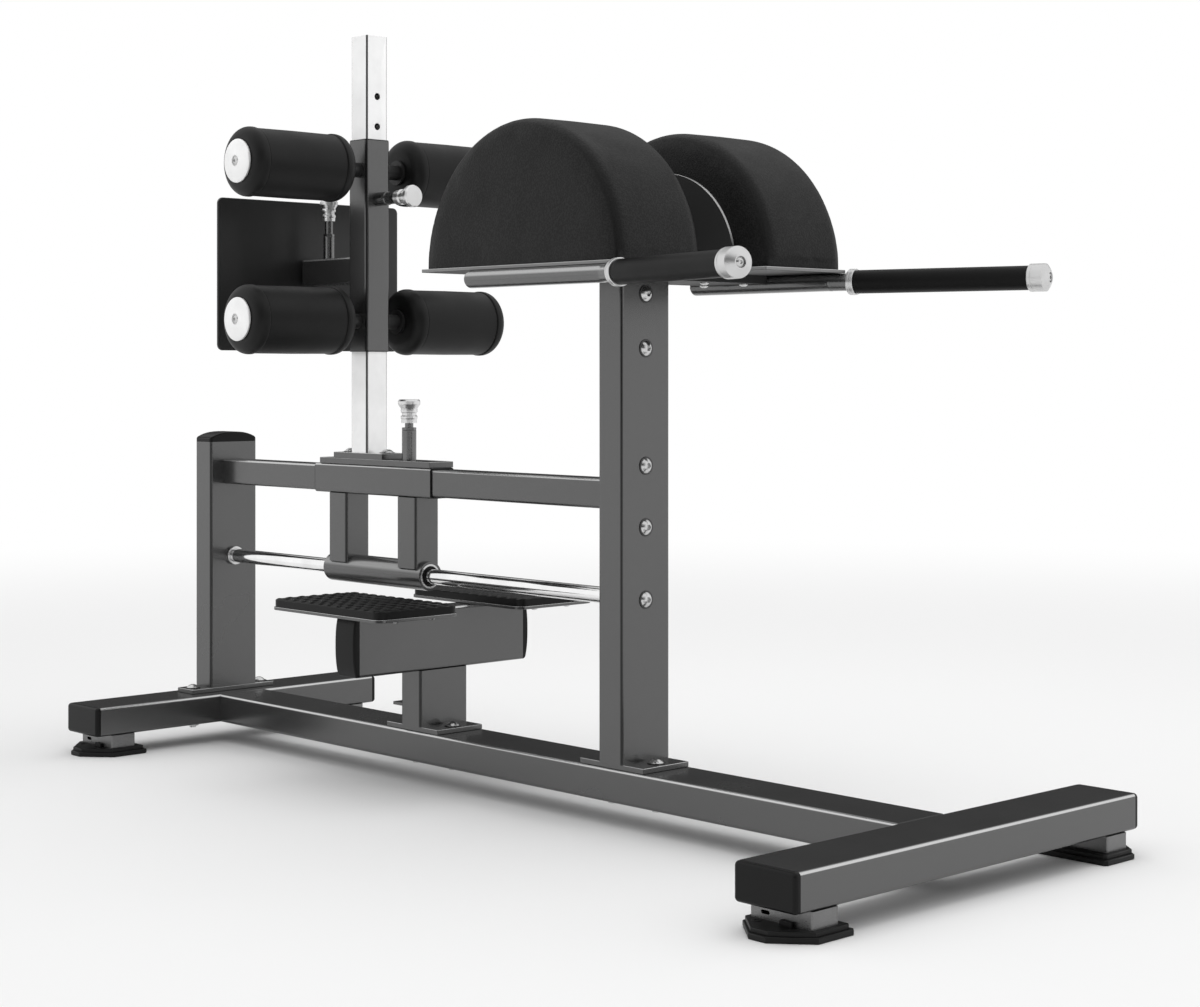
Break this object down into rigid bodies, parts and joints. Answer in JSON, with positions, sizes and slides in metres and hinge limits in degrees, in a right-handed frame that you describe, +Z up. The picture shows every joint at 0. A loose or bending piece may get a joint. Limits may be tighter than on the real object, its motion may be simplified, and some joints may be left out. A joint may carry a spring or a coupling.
{
  "type": "glute-ham machine",
  "caption": "Floor-standing glute-ham bench with half-round hip pads, splayed handles, step plates and a sliding carriage that carries height-adjustable ankle rollers and a foot plate.",
  "frame": {"origin": "on the floor, at the middle of the box that holds the machine", "axes": "+X towards the handles, along the base rail; +Z up; Y across, with the machine symmetric about Y = 0"},
  "size_m": [1.782, 0.739, 1.238],
  "materials": {
    "painted_steel": "satin",
    "dark_panel": "satin",
    "chrome": "polished",
    "zinc_steel": "satin",
    "raw_steel": "satin",
    "dark_steel": "satin",
    "aluminium": "satin",
    "black_plastic": "satin",
    "rubber": "matte",
    "bronze": "satin",
    "plywood": "matte",
    "vinyl_pad": "matte",
    "foam_roller": "matte"
  },
  "bodies": {
    "frame": {"base_rail": "painted_steel", "front_crossbar": "painted_steel", "rear_crossbar": "painted_steel", "crossbar_caps": "black_plastic", "foot_risers": "painted_steel", "rubber_feet": "rubber", "foot_screws": "zinc_steel", "mounting_flanges": "painted_steel", "rear_upright": "painted_steel", "front_upright": "painted_steel", "domed_caps": "black_plastic", "upper_rail": "painted_steel", "guide_rod": "chrome", "rod_collars": "zinc_steel", "frame_bolts": "zinc_steel", "frame_nuts": "zinc_steel", "step_stub": "painted_steel", "step_beam": "painted_steel", "step_plates": "painted_steel", "step_treads": "rubber", "tread_screws": "zinc_steel", "pad_carrier": "painted_steel", "cross_plate": "painted_steel", "seat_plates": "painted_steel", "seat_screws": "zinc_steel", "pad_boards": "plywood", "left_hip_pad": "vinyl_pad", "right_hip_pad": "vinyl_pad", "handle_tubes": "painted_steel", "handle_collars": "aluminium", "handle_grips": "rubber", "handle_end_caps": "aluminium", "handle_bolts": "zinc_steel"},
    "carriage": {"carriage_sleeve": "painted_steel", "carriage_liners": "black_plastic", "carriage_plate": "painted_steel", "carriage_legs": "painted_steel", "bushing_tube": "painted_steel", "rod_bushes": "bronze", "bush_seals": "rubber", "snap_rings": "zinc_steel", "ankle_post": "chrome", "post_bolts": "zinc_steel", "carriage_pin_barrel": "dark_steel"},
    "ankle_support": {"ankle_sleeve": "painted_steel", "ankle_liners": "black_plastic", "roller_axles": "raw_steel", "roller_discs": "aluminium", "disc_bolts": "zinc_steel", "ankle_pin_barrel": "dark_steel", "foot_tube": "painted_steel", "foot_pin_barrel": "dark_steel"},
    "foot_support": {"foot_plate": "dark_panel"},
    "upper_left_roller": {"upper_left_roller": "foam_roller"},
    "upper_right_roller": {"upper_right_roller": "foam_roller"},
    "lower_left_roller": {"lower_left_roller": "foam_roller"},
    "lower_right_roller": {"lower_right_roller": "foam_roller"},
    "carriage_pin": {"carriage_pin": "aluminium"},
    "ankle_pin": {"ankle_pin": "aluminium"},
    "foot_pin": {"foot_pin": "aluminium"}
  },
  "joints": [
    {"name": "carriage_slide", "type": "slide", "parent": "frame", "child": "carriage", "axis": [1, 0, 0], "range_m": [-0.2, 0.2]},
    {"name": "ankle_height", "type": "slide", "parent": "carriage", "child": "ankle_support", "axis": [0, 0, 1], "range_m": [-0.1, 0.15]},
    {"name": "foot_plate_depth", "type": "slide", "parent": "ankle_support", "child": "foot_support", "axis": [1, 0, 0], "range_m": [-0.075, 0]},
    {"name": "upper_left_roller_spin", "type": "hinge", "parent": "ankle_support", "child": "upper_left_roller", "pos_m": [-0.403, 0, 1.011], "axis": [0, 1, 0], "continuous": true},
    {"name": "upper_right_roller_spin", "type": "hinge", "parent": "ankle_support", "child": "upper_right_roller", "pos_m": [-0.403, 0, 1.011], "axis": [0, 1, 0], "continuous": true},
    {"name": "lower_left_roller_spin", "type": "hinge", "parent": "ankle_support", "child": "lower_left_roller", "pos_m": [-0.403, 0, 0.755], "axis": [0, 1, 0], "continuous": true},
    {"name": "lower_right_roller_spin", "type": "hinge", "parent": "ankle_support", "child": "lower_right_roller", "pos_m": [-0.403, 0, 0.755], "axis": [0, 1, 0], "continuous": true},
    {"name": "carriage_pin_pull", "type": "slide", "parent": "carriage", "child": "carriage_pin", "axis": [0, 0, 1], "range_m": [0, 0.01], "stiffness_N_per_m": 800, "springref_m": -0.01},
    {"name": "ankle_pin_pull", "type": "slide", "parent": "ankle_support", "child": "ankle_pin", "axis": [1, 0, 0], "range_m": [0, 0.01], "stiffness_N_per_m": 800, "springref_m": -0.01},
    {"name": "foot_pin_pull", "type": "slide", "parent": "ankle_support", "child": "foot_pin", "axis": [0, 0, 1], "range_m": [0, 0.01], "stiffness_N_per_m": 800, "springref_m": -0.01}
  ]
}
